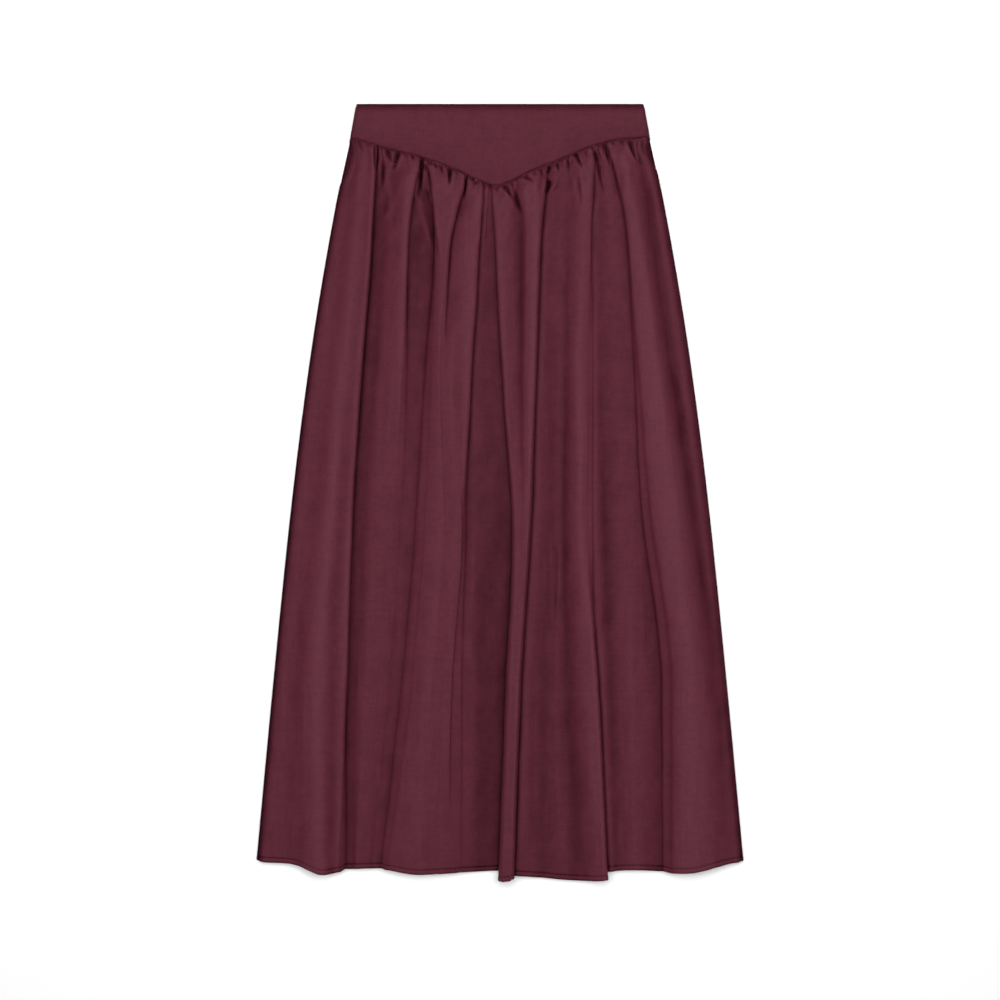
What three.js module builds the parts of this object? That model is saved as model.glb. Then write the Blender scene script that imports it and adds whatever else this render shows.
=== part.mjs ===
// A gathered maxi skirt laid flat: a V-pointed front yoke, a plain band behind it,
// and a front and a back panel that are gathered into them.
// Millimetres. X runs across, +Y points to the waist, +Z points up from the surface.
import * as THREE from "three";

// Driving dimensions
const skirtLength = 960;
const waistHalfWidth = 178;
const bandDepthAtSide = 41;
const seamGap = 0.3;
// More gap under the yoke, where straight facets meet along a curved seam
const facetAllowance = 0.1;
const clothWall = 1.2;
const hemTurn = 7;
const hemExtraWall = 0.5;
const yokeWall = 1.6;
const backWall = 1.5;
const frontUnderside = backWall + seamGap;
const rimHeight = frontUnderside + clothWall;

// Shares of a panel's length, from the seam under the waist to the hem
const stations = { seam: 0, hip: 0.1, thigh: 0.3, knee: 0.5, calf: 0.75, hem: 1 };
const stationShares = Object.values(stations);
// Half the skirt's width at those stations
const halfWidths = [185, 204, 234, 257, 280, 301];

// The seam under the yoke, which dips to a point: across, drop below the waist edge
const yokeSeam = [
  { across: -185, drop: 41 },
  { across: -136, drop: 56 },
  { across: -99, drop: 65 },
  { across: -49, drop: 84 },
  { across: -25, drop: 94.5 },
  { across: -4, drop: 101 },
  { across: 12, drop: 96 },
  { across: 41, drop: 82 },
  { across: 90, drop: 62 },
  { across: 135, drop: 46 },
  { across: 185, drop: 40 },
];

// The folds of the front panel, from its left rim to its right rim.
// across, high, low and over have one value for each station. A soft row is a crest
// or a hollow. On a leftOver row the cloth on the left lies over the cloth on the
// right by the width in over, and a width below nought is an open slope.
// hem is the drop of the hem there, or on the left and on the right of a lap.
const rimLeft = halfWidths.map((half) => -half);
const rimHigh = stationShares.map(() => rimHeight);
const folds = [
  { name: "leftRim", kind: "soft", across: rimLeft, high: rimHigh, hem: 934.5 },
  {
    name: "leftShoulder",
    kind: "soft",
    across: [-181, -199, -228, -251, -274, -295],
    high: [5.2, 5.7, 5.9, 6, 6, 5.8],
    hem: 936.5,
  },
  {
    name: "leftHollow",
    kind: "soft",
    across: [-176, -190, -210, -230, -252, -254],
    high: [5.2, 6, 6.6, 6.9, 7.3, 7.1],
    hem: 939.5,
  },
  {
    name: "creaseRidge",
    kind: "soft",
    across: [-170, -178, -194, -208, -225, -222],
    high: [7.5, 8.4, 9.4, 11, 12, 11],
    hem: 951.5,
  },
  {
    name: "besideCrease",
    kind: "soft",
    across: [-161, -166, -181, -194, -206, -208],
    high: [8.2, 8.8, 8.8, 8.4, 8.2, 7.6],
    hem: 951,
  },
  {
    name: "sideLap",
    kind: "leftOver",
    across: [-152, -154, -166, -178, -186, -195],
    high: [9, 10.4, 10.2, 10, 9, 7.7],
    low: [4.6, 3.5, 3.5, 3.5, 3.9, 4.8],
    over: [2, 6, 7, 6, 2, -6],
    hem: [949, 945.5],
  },
  {
    name: "secondBand",
    kind: "soft",
    across: [-128, -133, -143, -155, -166, -178],
    high: [6, 6.1, 5.9, 6.1, 6.7, 7],
    hem: 945,
  },
  {
    name: "hipLap",
    kind: "leftOver",
    across: [-100, -109, -116, -127, -142, -163],
    high: [8.4, 9.6, 7.8, 6.4, 6.4, 6.6],
    low: [4, 3.6, 4.8, 5.5, 5.5, 5.4],
    over: [3, 4, -3, -6, -6, -3],
    hem: [944.6, 944.6],
  },
  {
    name: "stepUp",
    kind: "rightOver",
    across: [-86, -83, -89, -96, -114, -144],
    high: [8, 9, 8.6, 8.2, 8.4, 7.8],
    low: [4.5, 3.6, 4.8, 5.5, 5.5, 5],
    over: [-1, 0, -5, -9, -10, -5],
    hem: [944.5, 946.4],
  },
  {
    name: "leftRidge",
    kind: "soft",
    across: [-62, -69, -75, -72, -88, -106],
    high: [9, 10, 10.6, 11, 11, 9.6],
    hem: 951.5,
  },
  {
    name: "shortLap",
    kind: "leftOver",
    across: [-41, -58, -66, -60, -74, -80],
    high: [9, 10, 10, 10.4, 10.4, 9],
    low: [4.4, 4.8, 10, 10.3, 10, 8.8],
    over: [4, 4, -3, -3, -3, -3],
    hem: [951.3, 950.9],
  },
  {
    name: "centreBand",
    kind: "soft",
    across: [-31, -46, -52, -46.5, -60, -64],
    high: [7.4, 8.2, 9, 9.6, 9.2, 8],
    hem: 950.4,
  },
  {
    name: "centreLap",
    kind: "leftOver",
    across: [-21, -23, -33, -43, -57, -53],
    high: [7.8, 8.8, 9.2, 9, 8.4, 7.6],
    low: [4, 3.6, 3.6, 4.9, 6.3, 6.2],
    over: [3, 4, 4, -3, -11, -6],
    hem: [950.2, 949.3],
  },
  {
    name: "channel",
    kind: "soft",
    across: [-15.5, -16, -15, -12, -20, -20],
    high: [3.8, 3.6, 3.5, 3.8, 4, 4.2],
    hem: 948.4,
  },
  {
    name: "flapLap",
    kind: "rightOver",
    across: [-9, -8, 1, 12, 3, -4.5],
    high: [7.8, 8.4, 9, 11, 12, 11.6],
    low: [4, 3.6, 3.5, 3.5, 3.6, 3.8],
    over: [2, 4, 5, 6, 5, 3],
    hem: [947.8, 959.5],
  },
  {
    name: "stripCrest",
    kind: "soft",
    across: [7, 9, 13, 20, 11, 3],
    high: [8.4, 8.4, 8.8, 11.8, 13, 12.4],
    hem: 960,
  },
  {
    name: "stripDip",
    kind: "soft",
    across: [22, 25, 24, 26, 15, 7.5],
    high: [7.4, 7.3, 8.4, 12.2, 13.2, 12.6],
    hem: 959.5,
  },
  {
    name: "pleatShoulder",
    kind: "soft",
    across: [30, 33, 31, 31, 19, 13],
    high: [10.4, 11.4, 11.6, 13, 13.6, 12.8],
    hem: 958.5,
  },
  {
    name: "pleatLap",
    kind: "leftOver",
    across: [59, 54, 48, 41, 28, 20],
    high: [7.6, 12.4, 12.6, 13, 13.4, 12.4],
    low: [6, 3.8, 3.8, 3.8, 4, 5],
    over: [0, 7, 7, 6, 5, 1],
    hem: [957, 954],
  },
  {
    name: "besidePleat",
    kind: "soft",
    across: [68, 63, 58, 55, 44, 37],
    high: [6.8, 6.4, 5.4, 5, 5.2, 5.8],
    hem: 955,
  },
  {
    name: "firstHollow",
    kind: "soft",
    across: [74, 69, 65, 66, 58, 54],
    high: [6.6, 6.2, 4.8, 3.5, 3.9, 4.8],
    hem: 956.3,
  },
  {
    name: "betweenHollows",
    kind: "soft",
    across: [80, 76, 73, 72, 70, 77],
    high: [7, 6.6, 5.3, 4, 4.7, 5.7],
    hem: 958.4,
  },
  {
    name: "secondHollow",
    kind: "soft",
    across: [86, 83, 80, 78, 84, 101],
    high: [7, 6.4, 5.7, 4.4, 4.4, 5.6],
    hem: 959.7,
  },
  {
    name: "rightRidge",
    kind: "soft",
    across: [100, 102, 96, 98, 111, 123],
    high: [9.4, 10, 10.6, 10.6, 10.6, 9.6],
    hem: 959.5,
  },
  {
    name: "flapRightLap",
    kind: "leftOver",
    across: [117, 116, 112, 111, 125, 136],
    high: [9, 9.8, 9.8, 10, 11.4, 11],
    low: [5, 6.2, 7.6, 7.8, 4.8, 4.2],
    over: [2, 1, -4, -5, 4, 4],
    hem: [958.4, 948.8],
  },
  {
    name: "softHollow",
    kind: "soft",
    across: [123, 126, 124, 128, 136, 143],
    high: [5.4, 6, 6.4, 5.4, 5, 5.4],
    hem: 947.8,
  },
  {
    name: "ninthBand",
    kind: "soft",
    across: [125.5, 136, 143, 153, 163, 168],
    high: [6.4, 7.1, 6.6, 6.6, 7, 6.6],
    hem: 946.5,
  },
  {
    name: "rightLap",
    kind: "rightOver",
    across: [133, 151, 166, 181, 208, 208],
    high: [9, 11, 11.4, 11, 9.4, 8.6],
    low: [4.6, 6.4, 7, 6.2, 4.4, 4.6],
    over: [2, 1, -3, -8, -10, -8],
    hem: [948.3, 950.1],
  },
  {
    name: "broadRidge",
    kind: "soft",
    across: [151, 169, 194, 217, 238, 240],
    high: [10, 12, 13, 13.8, 13.8, 12.4],
    hem: 948.8,
  },
  {
    name: "wrinkledValley",
    kind: "soft",
    across: [171, 185, 211, 238, 268, 286],
    high: [5.6, 5, 4.6, 4.4, 4.9, 7.2],
    hem: 938.2,
  },
  {
    name: "rightShoulder",
    kind: "soft",
    across: [179, 196, 224, 248, 275, 294],
    high: [5.6, 5.4, 5, 4.4, 4, 6.2],
    hem: 937.3,
  },
  { name: "rightRim", kind: "soft", across: halfWidths, high: rimHigh, hem: 935.7 },
];

// How a lap's edge is rounded, in shares of its height and in millimetres
const lapShape = { edgeShare: 0.35, returnShare: 0.3, topRun: 3, turnRun: 1.5, footRun: 4 };

// The gathers are pinched flat in the seam and stand up just below it
const seamLevel = 4.4;
const pinchedShare = 0.35;
const pinchLength = 0.04;

// The rows of a panel, closer together near the gathered seam
const panelRows = [0, 0.02, 0.05, 0.1, 0.17, 0.25, 0.34, 0.43, 0.52, 0.61, 0.7, 0.79, 0.88, 0.95];

const yOfDrop = (drop) => skirtLength / 2 - drop;

// A smooth curve through values that doesn't run past them
function smoothAt(places, values, at) {
  const last = places.length - 1;
  const place = Math.min(Math.max(at, places[0]), places[last]);
  let left = 0;
  while (left < last - 1 && place > places[left + 1]) left += 1;
  const slope = (i) => (values[i + 1] - values[i]) / (places[i + 1] - places[i]);
  const tangent = (i) => {
    if (i === 0) return slope(0);
    if (i === last) return slope(last - 1);
    const before = slope(i - 1);
    const after = slope(i);
    return before * after > 0 ? (2 * before * after) / (before + after) : 0;
  };
  const width = places[left + 1] - places[left];
  const t = (place - places[left]) / width;
  const rise = t * t * (3 - 2 * t);
  const start = t * (1 - t) * (1 - t) * width * tangent(left);
  const end = t * t * (1 - t) * width * tangent(left + 1);
  return values[left] + rise * (values[left + 1] - values[left]) + start - end;
}

const atStation = (values, share) => smoothAt(stationShares, values, share);
const seamPlaces = yokeSeam.map((row) => row.across);
const seamDrops = yokeSeam.map((row) => row.drop);
const seamDropAt = (across) => smoothAt(seamPlaces, seamDrops, across);
const seamEdge = (across) => yOfDrop(seamDropAt(across) + seamGap + facetAllowance);

// Height of the cloth near the seam, where the gathers are pinched
function pinched(height, share) {
  const t = Math.min(share / pinchLength, 1);
  const open = pinchedShare + (1 - pinchedShare) * t * t * (3 - 2 * t);
  return seamLevel + (height - seamLevel) * open;
}

// The points of one fold in the section at a share of the panel's length
function foldPoints(fold, share) {
  const across = atStation(fold.across, share);
  const hems = Array.isArray(fold.hem) ? fold.hem : [fold.hem, fold.hem];
  const point = (x, z, hem) => {
    const seamY = seamEdge(fold.across[0] + x - across);
    const y = seamY + share * (yOfDrop(hem) - seamY);
    return new THREE.Vector3(x, y, pinched(z, share));
  };
  const high = atStation(fold.high, share);
  if (fold.kind === "soft") {
    const isRim = fold.high === rimHigh;
    const only = point(across, high, hems[0]);
    if (isRim) only.z = rimHeight;
    return [only];
  }
  const low = atStation(fold.low, share);
  const over = atStation(fold.over, share);
  const side = fold.kind === "leftOver" ? 1 : -1;
  const [topHem, footHem] = side > 0 ? hems : [hems[1], hems[0]];
  const height = high - low;
  const foot = Math.max(lapShape.footRun, lapShape.footRun + 1 - over);
  const points = [
    point(across - side * lapShape.topRun, high, topHem),
    point(across, high - lapShape.edgeShare * height, topHem),
    point(across - side * over, low + lapShape.returnShare * height, footHem),
    point(across - side * (over - lapShape.turnRun), low, footHem),
    point(across + side * foot, low, footHem),
  ];
  return side > 0 ? points : points.reverse();
}

function frontCurve(share) {
  const points = folds.flatMap((fold) => foldPoints(fold, share));
  return new THREE.CatmullRomCurve3(points, false, "centripetal");
}

// Places along the section: each guide point, and halfway where two lie far apart
function sectionPlaces() {
  const longSpan = 11;
  const returnSpan = 4;
  const guides = frontCurve(stations.knee).points;
  const seamGuides = frontCurve(stations.seam).points;
  const lastGuide = guides.length - 1;
  const places = [];
  guides.forEach((guide, i) => {
    places.push(i / lastGuide);
    if (i === lastGuide) return;
    const next = guides[i + 1];
    const turnsBack = next.x < guide.x - returnSpan;
    const seamSpan = seamGuides[i + 1].x - seamGuides[i].x;
    const isLong = Math.max(guide.distanceTo(next), seamSpan) > longSpan;
    if (isLong || turnsBack) places.push((i + 0.5) / lastGuide);
  });
  return places;
}

// A closed wall between an outer and an inner grid, its rows running from waist to hem
function wallGeometry(outer, inner) {
  const rowCount = outer.length;
  const columnCount = outer[0].length;
  const positions = [...outer.flat(), ...inner.flat()].flatMap((p) => [p.x, p.y, p.z]);
  const top = (row, column) => row * columnCount + column;
  const under = (row, column) => rowCount * columnCount + top(row, column);
  const index = [];
  const quad = (a, b, c, d) => index.push(a, b, c, a, c, d);
  for (let r = 0; r < rowCount - 1; r += 1) {
    for (let c = 0; c < columnCount - 1; c += 1) {
      quad(top(r, c), top(r + 1, c), top(r + 1, c + 1), top(r, c + 1));
      quad(under(r, c), under(r, c + 1), under(r + 1, c + 1), under(r + 1, c));
    }
  }
  const lastRow = rowCount - 1;
  const lastColumn = columnCount - 1;
  for (let c = 0; c < lastColumn; c += 1) {
    quad(top(0, c), top(0, c + 1), under(0, c + 1), under(0, c));
    quad(top(lastRow, c + 1), top(lastRow, c), under(lastRow, c), under(lastRow, c + 1));
  }
  for (let r = 0; r < lastRow; r += 1) {
    quad(top(r + 1, 0), top(r, 0), under(r, 0), under(r + 1, 0));
    quad(top(r, lastColumn), top(r + 1, lastColumn), under(r + 1, lastColumn), under(r, lastColumn));
  }
  const geometry = new THREE.BufferGeometry();
  geometry.setAttribute("position", new THREE.Float32BufferAttribute(positions, 3));
  geometry.setIndex(index);
  geometry.computeVertexNormals();
  return geometry;
}

// The gathered front panel, thicker along the narrow turned hem
function frontPanel() {
  const hemStart = 1 - hemTurn / (skirtLength - bandDepthAtSide);
  const rows = [...panelRows, hemStart, 1];
  const places = sectionPlaces();
  const outer = [];
  const inner = [];
  for (const share of rows) {
    const curve = frontCurve(share);
    const wall = clothWall + (share === 1 ? hemExtraWall : 0);
    const outerRow = places.map((place) => curve.getPoint(place));
    const innerRow = places.map((place, i) => {
      const along = curve.getTangent(place);
      const normal = new THREE.Vector3(-along.z, 0, along.x).normalize();
      const under = outerRow[i].clone().addScaledVector(normal, -wall);
      under.z = Math.max(under.z, frontUnderside);
      return under;
    });
    if (share === 0) [...outerRow, ...innerRow].forEach((p) => (p.y = seamEdge(p.x)));
    outer.push(outerRow);
    inner.push(innerRow);
  }
  return wallGeometry(outer, inner);
}

// The yoke: a shaped band with a rolled top edge, level where the panel joins it
function frontYoke() {
  const columnCount = 57;
  const rollDepth = 9;
  const crown = 1.6;
  const rimRun = 6;
  const topRim = 0.5;
  const rowShares = [0, 0.4, 1];
  const outer = [];
  const inner = [];
  const rows = [{ drop: 0 }, { drop: rollDepth }, ...rowShares.slice(1).map((share) => ({ share }))];
  rows.forEach((row, rowIndex) => {
    const outerRow = [];
    for (let c = 0; c < columnCount; c += 1) {
      const side = (2 * c) / (columnCount - 1) - 1;
      const seamAcross = side * halfWidths[0];
      const foot = seamDropAt(seamAcross);
      const drop = row.share === undefined ? row.drop : rollDepth + row.share * (foot - rollDepth);
      const half = waistHalfWidth + ((halfWidths[0] - waistHalfWidth) * drop) / foot;
      const across = side * half;
      const fromRim = Math.min((half - Math.abs(across)) / rimRun, 1);
      const body = rimHeight + crown * Math.sin((fromRim * Math.PI) / 2);
      const height = rowIndex === 0 ? rimHeight + topRim * fromRim : body;
      outerRow.push(new THREE.Vector3(across, yOfDrop(drop), height));
    }
    outer.push(outerRow);
    inner.push(
      outerRow.map((p) => new THREE.Vector3(p.x, p.y, Math.max(p.z - yokeWall, frontUnderside)))
    );
  });
  return wallGeometry(outer, inner);
}

// A flat piece that rests on the surface, between drops that depend on the place across
function flatPiece(halfWidthAt, topDropAt, footDropAt, rowShares, columnCount) {
  const layer = (height) =>
    rowShares.map((share) => {
      const row = [];
      for (let c = 0; c < columnCount; c += 1) {
        const side = (2 * c) / (columnCount - 1) - 1;
        const drop = topDropAt(side) + share * (footDropAt(side) - topDropAt(side));
        row.push(new THREE.Vector3(side * halfWidthAt(share), yOfDrop(drop), height));
      }
      return row;
    });
  return wallGeometry(layer(backWall), layer(0));
}

// The band behind the yoke, and the back panel, a little inside the front one
const backInset = 1;
const backHem = { side: 930, middle: 941 };
function backWaistband() {
  const top = waistHalfWidth - backInset;
  const foot = halfWidths[0] - backInset;
  const halfWidthAt = (share) => top + share * (foot - top);
  return flatPiece(halfWidthAt, () => 0, () => bandDepthAtSide, [0, 1], 9);
}

function backPanel() {
  const halfWidthAt = (share) => atStation(halfWidths, share) - backInset;
  const seamDrop = bandDepthAtSide + seamGap;
  const hemDropAt = (side) => backHem.middle - (backHem.middle - backHem.side) * side * side;
  return flatPiece(halfWidthAt, () => seamDrop, hemDropAt, [...panelRows, 1], 13);
}

// Deep wine cotton
const wine = new THREE.Color().setRGB(0.34, 0.16, 0.21, THREE.SRGBColorSpace);
const clothRoughness = 0.86;
const pieces = [
  { name: "front_yoke", geometry: frontYoke() },
  { name: "back_waistband", geometry: backWaistband() },
  { name: "front_panel", geometry: frontPanel() },
  { name: "back_panel", geometry: backPanel() },
];

const skirt = new THREE.Group();
for (const piece of pieces) {
  const cloth = new THREE.MeshStandardMaterial({
    color: wine,
    roughness: clothRoughness,
    metalness: 0,
  });
  const mesh = new THREE.Mesh(piece.geometry, cloth);
  mesh.name = piece.name;
  skirt.add(mesh);
}

export default skirt;
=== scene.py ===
import bpy
import numpy as np
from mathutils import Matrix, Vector


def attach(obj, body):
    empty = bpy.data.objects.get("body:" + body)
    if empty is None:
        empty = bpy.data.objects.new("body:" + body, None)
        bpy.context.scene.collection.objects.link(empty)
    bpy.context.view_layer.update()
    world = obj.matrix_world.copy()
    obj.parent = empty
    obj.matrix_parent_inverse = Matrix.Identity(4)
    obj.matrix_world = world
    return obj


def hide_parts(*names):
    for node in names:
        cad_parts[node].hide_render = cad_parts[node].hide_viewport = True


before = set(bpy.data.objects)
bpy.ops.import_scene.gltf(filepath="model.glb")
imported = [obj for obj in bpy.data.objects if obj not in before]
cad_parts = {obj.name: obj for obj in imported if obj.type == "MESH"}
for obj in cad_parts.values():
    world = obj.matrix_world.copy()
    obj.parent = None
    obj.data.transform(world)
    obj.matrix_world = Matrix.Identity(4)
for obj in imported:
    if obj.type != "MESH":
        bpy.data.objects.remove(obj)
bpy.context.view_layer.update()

print("skirt: frame loaded")

# All tables are in millimetres: across to the right, drop from the waist edge, high above the floor
mm = 0.001
skirt = {
    "length": 960.0,
    "waistHalf": 178.0,
    "bandDepth": 41.0,
    "seamGap": 0.15,
    "rimHigh": 3.0,
    "seamLevel": 4.4,      # height at which the gathers are pinched into the seam
    "pinchedShare": 0.5,
    "pinchLength": 0.025,
    "stitchHigh": 6.1,      # of the hem's stitches over its edge
    "underside": 1.9,       # lowest place of the front's inner faces
}
stitchHigh = skirt["stitchHigh"]
stationShares = [0, 0.1, 0.3, 0.5, 0.75, 1]   # seam, hip, thigh, knee, calf, hem
halfWidths = [185, 204, 234, 257, 280, 301]

# across and drop of the seam under the yoke
yokeSeam = [
    (-185, 41), (-136, 56), (-99, 65), (-49, 84), (-25, 94.5), (-4, 101),
    (12, 96), (41, 82), (90, 62), (135, 46), (185, 40),
]


def crest(name, across, high, hem):
    return {"name": name, "side": 0, "across": across, "high": high, "hem": (hem, hem)}


# the cloth on one side lies over the other by the width in over, and below nought it is an open slope
def lap(name, side, across, high, low, over, hem, footRise=0.3, footRun=4.0):
    sign = {"leftOver": 1, "rightOver": -1}[side]
    return {"name": name, "side": sign, "across": across, "high": high, "low": low,
            "over": over, "hem": hem, "footRise": footRise, "footRun": footRun}


rimHigh = [skirt["rimHigh"]] * 6
folds = [
    crest("leftRim", [-w for w in halfWidths], rimHigh, 934.5),
    crest("leftShoulder", [-181, -199, -228, -251, -274, -295], [5.2, 5.7, 5.9, 6.0, 6.0, 5.8], 936.5),
    crest("leftHollow", [-176, -190, -210, -230, -252, -254], [5.2, 6.0, 6.6, 6.9, 7.3, 7.1], 939.5),
    crest("creaseRidge", [-170, -178, -194, -208, -225, -222], [7.5, 8.4, 9.4, 11, 12, 11], 951.5),
    crest("besideCrease", [-161, -166, -181, -194, -206, -208], [8.2, 8.8, 8.8, 8.4, 8.2, 7.6], 951),
    lap("sideLap", "leftOver", [-152, -154, -166, -178, -186, -195], [9, 10.4, 10.2, 10, 9, 7.7],
        [4.6, 3.2, 2.8, 2.8, 3.9, 4.8], [2, 6, 7, 6, 2, -6], (949, 945.5), footRise=0, footRun=7.0),
    crest("secondBand", [-128, -133, -143, -155, -166, -178], [6, 6.1, 5.9, 6.1, 6.7, 7.0], 945),
    lap("hipLap", "leftOver", [-100, -109, -116, -127, -142, -163], [8.4, 9.6, 7.8, 6.4, 6.4, 6.6],
        [4, 3.6, 4.8, 5.5, 5.5, 5.4], [3, 4, -3, -6, -6, -3], (944.6, 944.6), footRise=0),
    lap("stepUp", "rightOver", [-86, -83, -89, -96, -114, -144], [8, 9, 8.6, 8.2, 8.4, 7.8],
        [4.5, 3.6, 4.8, 5.5, 5.5, 5.0], [-1, 0, -5, -9, -10, -5], (944.5, 946.4), footRise=0),
    crest("leftRidge", [-62, -69, -75, -72, -88, -106], [9, 10, 10.6, 11, 11, 9.6], 951.5),
    lap("shortLap", "leftOver", [-41, -58, -66, -60, -74, -80], [9, 10, 10, 10.4, 10.4, 9],
        [4.4, 4.8, 10, 10.3, 10, 8.8], [4, 4, -3, -3, -3, -3], (951.3, 950.9)),
    crest("centreBand", [-31, -46, -52, -46.5, -60, -64], [7.4, 8.2, 9, 9.6, 9.2, 8], 950.4),
    lap("centreLap", "leftOver", [-21, -23, -33, -43, -57, -53], [7.8, 8.8, 9.2, 9.0, 8.4, 7.6],
        [4, 3.6, 3.6, 4.9, 6.3, 6.2], [3, 4, 4, -3, -11, -6], (950.2, 949.3), footRise=0.15),
    crest("channel", [-15.5, -16, -15, -12, -20, -20], [3.8, 3.6, 3.5, 3.8, 4, 4.2], 948.4),
    lap("flapLap", "rightOver", [-9, -8, 1, 12, 3, -4.5], [7.8, 8.4, 9, 11, 12, 11.6],
        [4, 3.6, 3.5, 3.5, 3.6, 3.8], [2, 4, 5, 6, 5, 3], (947.8, 959.5), footRise=0),
    crest("stripCrest", [7, 9, 13, 20, 11, 3], [8.4, 8.4, 8.8, 11.8, 13, 12.4], 960),
    crest("stripDip", [22, 25, 24, 26, 15, 7.5], [7.4, 7.3, 8.4, 12.2, 13.2, 12.6], 959.5),
    crest("pleatShoulder", [30, 33, 31, 31, 19, 13], [10.4, 11.4, 11.6, 13, 13.6, 12.8], 958.5),
    lap("pleatLap", "leftOver", [59, 54, 48, 41, 28, 20], [7.6, 12.4, 12.6, 13, 13.4, 12.4],
        [6.0, 3.8, 3.8, 3.8, 4, 5], [0, 7, 7, 6, 5, 1], (957, 954)),
    crest("besidePleat", [68, 63, 58, 55, 44, 37], [6.8, 6.4, 5.4, 5.0, 5.2, 5.8], 955),
    crest("firstHollow", [74, 69, 65, 66, 58, 54], [6.6, 6.2, 4.8, 3.4, 3.9, 4.8], 956.3),
    crest("betweenHollows", [80, 76, 73, 72, 70, 77], [7, 6.6, 5.3, 4.0, 4.7, 5.7], 958.4),
    crest("secondHollow", [86, 83, 80, 78, 84, 101], [7, 6.4, 5.7, 4.4, 4.4, 5.6], 959.7),
    crest("rightRidge", [100, 102, 96, 98, 111, 123], [9.4, 10, 10.6, 10.6, 10.6, 9.6], 959.5),
    lap("flapRightLap", "leftOver", [117, 116, 112, 111, 125, 136], [9, 9.8, 9.8, 10, 11.4, 11],
        [5, 6.2, 7.6, 7.8, 4.8, 4.2], [2, 1, -4, -5, 4, 4], (958.4, 948.8)),
    crest("softHollow", [123, 126, 124, 128, 136, 143], [5.4, 6, 6.4, 5.4, 5, 5.4], 947.8),
    crest("ninthBand", [125.5, 136, 143, 153, 163, 168], [6.4, 7.1, 6.6, 6.6, 7.0, 6.6], 946.5),
    lap("rightLap", "rightOver", [133, 151, 166, 181, 208, 208], [9, 11, 11.4, 11, 9.4, 8.6],
        [4.6, 6.4, 7, 6.2, 4.4, 4.6], [2, 1, -3, -8, -10, -8], (948.3, 950.1)),
    crest("broadRidge", [151, 169, 194, 217, 238, 240], [10, 12, 13, 13.8, 13.8, 12.4], 948.8),
    crest("wrinkledValley", [171, 185, 211, 238, 268, 286], [5.6, 5.0, 4.6, 4.4, 4.9, 7.2], 938.2),
    crest("rightShoulder", [179, 196, 224, 248, 275, 294], [5.6, 5.4, 5.0, 4.4, 4.0, 6.2], 937.3),
    crest("rightRim", halfWidths, rimHigh, 935.7),
]
lapShape = {"edgeShare": 0.35, "returnShare": 0.3, "topRun": 3.0, "turnRun": 1.5, "edgeShift": 2.5}


def yOfDrop(drop):
    return skirt["length"] / 2 - drop


def dropOf(points):
    return skirt["length"] / 2 - points[..., 1]


# a curve through the values that never runs past them
def smoothAt(places, values, at):
    places = np.asarray(places, float)
    values = np.asarray(values, float)
    at = np.clip(np.asarray(at, float), places[0], places[-1])
    slope = np.diff(values) / np.diff(places)
    tangent = np.empty(len(places))
    tangent[0], tangent[-1] = slope[0], slope[-1]
    for i in range(1, len(places) - 1):
        before, after = slope[i - 1], slope[i]
        tangent[i] = 2 * before * after / (before + after) if before * after > 0 else 0
    left = np.clip(np.searchsorted(places, at) - 1, 0, len(places) - 2)
    width = places[left + 1] - places[left]
    t = (at - places[left]) / width
    rise = t * t * (3 - 2 * t) * (values[left + 1] - values[left])
    bend = t * (1 - t) * width * ((1 - t) * tangent[left] - t * tangent[left + 1])
    return values[left] + rise + bend


def softStep(low, high, value):
    t = np.clip((value - low) / (high - low), 0, 1)
    return t * t * (3 - 2 * t)


def seamDropAt(across):
    return smoothAt([p[0] for p in yokeSeam], [p[1] for p in yokeSeam], across)


# half the skirt's width at shares of the panel's length, one value for each row
def halfWidthAt(shares):
    return smoothAt(stationShares, halfWidths, shares)[:, None]


# even random hills and dips between -1 and 1, the same each run
def cloudAt(x, y, seed):
    size = 96
    grid = np.random.default_rng(seed).uniform(-1, 1, (size, size))
    x0, y0 = np.floor(x).astype(int), np.floor(y).astype(int)
    tx, ty = x - x0, y - y0
    tx, ty = tx * tx * (3 - 2 * tx), ty * ty * (3 - 2 * ty)
    a, b = grid[x0 % size, y0 % size], grid[(x0 + 1) % size, y0 % size]
    c, d = grid[x0 % size, (y0 + 1) % size], grid[(x0 + 1) % size, (y0 + 1) % size]
    return (a + (b - a) * tx) * (1 - ty) + (c + (d - c) * tx) * ty


def gridNormals(points):
    acrossStep = np.gradient(points, axis=1)
    downStep = np.gradient(points, axis=0)
    normal = np.cross(downStep, acrossStep)
    return normal / np.maximum(np.linalg.norm(normal, axis=2, keepdims=True), 1e-9)


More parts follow.
